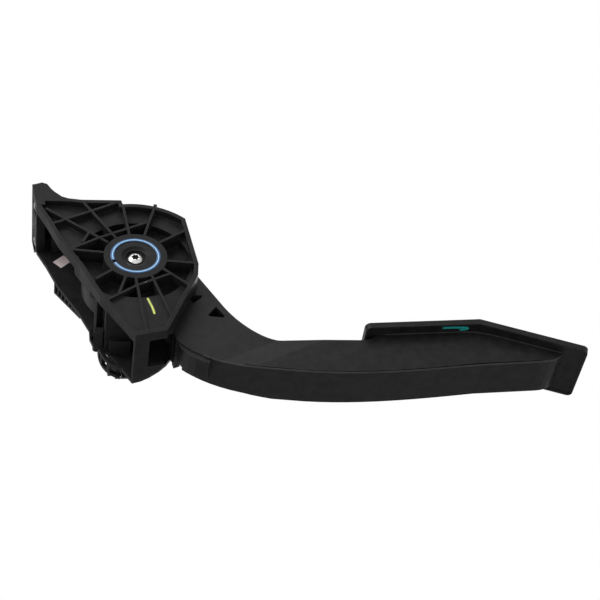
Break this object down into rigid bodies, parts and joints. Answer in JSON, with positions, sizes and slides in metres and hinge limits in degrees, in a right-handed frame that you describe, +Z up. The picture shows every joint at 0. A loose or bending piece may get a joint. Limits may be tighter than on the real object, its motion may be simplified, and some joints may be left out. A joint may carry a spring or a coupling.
{
  "type": "accelerator pedal",
  "caption": "Hanging accelerator pedal: ribbed moulded housing with two upper bolt holes, a cranked sprung arm with a bent foot pad, and a position sensor with a connector.",
  "frame": {"origin": "midway between the two upper bolt holes, at the bulkhead end of their steel sleeves", "axes": "+Z up and -X towards the bulkhead, as fitted in the car; +X towards the driver, and the hub with the ring faces -Y"},
  "size_m": [0.2494, 0.0591, 0.2863],
  "materials": {
    "housing_plastic": "moulded, fine grain",
    "arm_plastic": "moulded, satin",
    "cap_plastic": "moulded",
    "connector_plastic": "moulded",
    "ring_paint": "light blue",
    "screw_steel": "zinc plated",
    "axle_steel": "ground",
    "bush_metal": "sintered",
    "washer_plastic": "natural",
    "magnet": "sintered magnet",
    "spring_steel": "oiled wire",
    "stop_rubber": "moulded",
    "sleeve_steel": "zinc plated",
    "board": "circuit board",
    "chip": "moulded package",
    "terminal_metal": "tinned",
    "label_film": "bare film"
  },
  "bodies": {
    "bracket": {"housing": "housing_plastic", "side_cover": "housing_plastic", "pivot_cap": "cap_plastic", "hub_ring": "ring_paint", "centre_screw": "screw_steel", "pivot_axle": "axle_steel", "thrust_washer_near": "washer_plastic", "thrust_washer_far": "washer_plastic", "return_spring_outer": "spring_steel", "return_spring_inner": "spring_steel", "rest_stop": "stop_rubber", "full_stop": "stop_rubber", "sleeve_near": "sleeve_steel", "sleeve_far": "sleeve_steel", "sensor_board": "board", "sensor_chip_1": "chip", "sensor_chip_2": "chip", "sensor_lid": "cap_plastic", "lid_gasket": "stop_rubber", "connector": "connector_plastic", "terminals": "terminal_metal", "cover_screws": "screw_steel", "lid_screws": "screw_steel", "label": "label_film"},
    "arm": {"pedal_arm": "arm_plastic", "hub_bush_near": "bush_metal", "hub_bush_far": "bush_metal", "magnet_ring": "magnet"}
  },
  "joints": [
    {"name": "pedal_pivot", "type": "hinge", "parent": "bracket", "child": "arm", "pos_m": [0.0264, 0, -0.076], "axis": [0, 1, 0], "range_deg": [0, 16], "stiffness_Nm_per_rad": 7, "springref_deg": -17.19, "deforming": ["return_spring_outer", "return_spring_inner"]}
  ]
}
